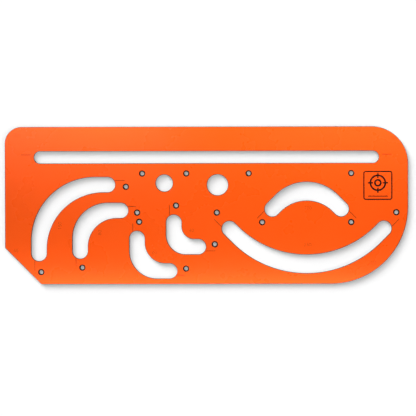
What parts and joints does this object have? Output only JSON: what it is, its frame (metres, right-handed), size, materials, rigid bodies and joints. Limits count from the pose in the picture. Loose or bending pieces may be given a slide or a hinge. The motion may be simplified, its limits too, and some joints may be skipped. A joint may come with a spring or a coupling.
{
  "type": "router worktop curve template",
  "caption": "Flat orange laminate template with a straight slot, curved slots of stated radii, rounded corners and locating-pin holes, for guiding a router.",
  "frame": {"origin": "middle of the board's underside", "axes": "+X along the board's length, from the cut-off corner towards the large round corners; +Y towards the straight slot; +Z out of the engraved upper face"},
  "size_m": [1, 0.39, 0.012],
  "materials": {
    "phenolic_core": "satin machined",
    "orange_face": "fine satin laminate"
  },
  "bodies": {
    "root": {"core_panel": "phenolic_core", "top_face_sheet": "orange_face", "bottom_face_sheet": "orange_face"}
  },
  "joints": []
}
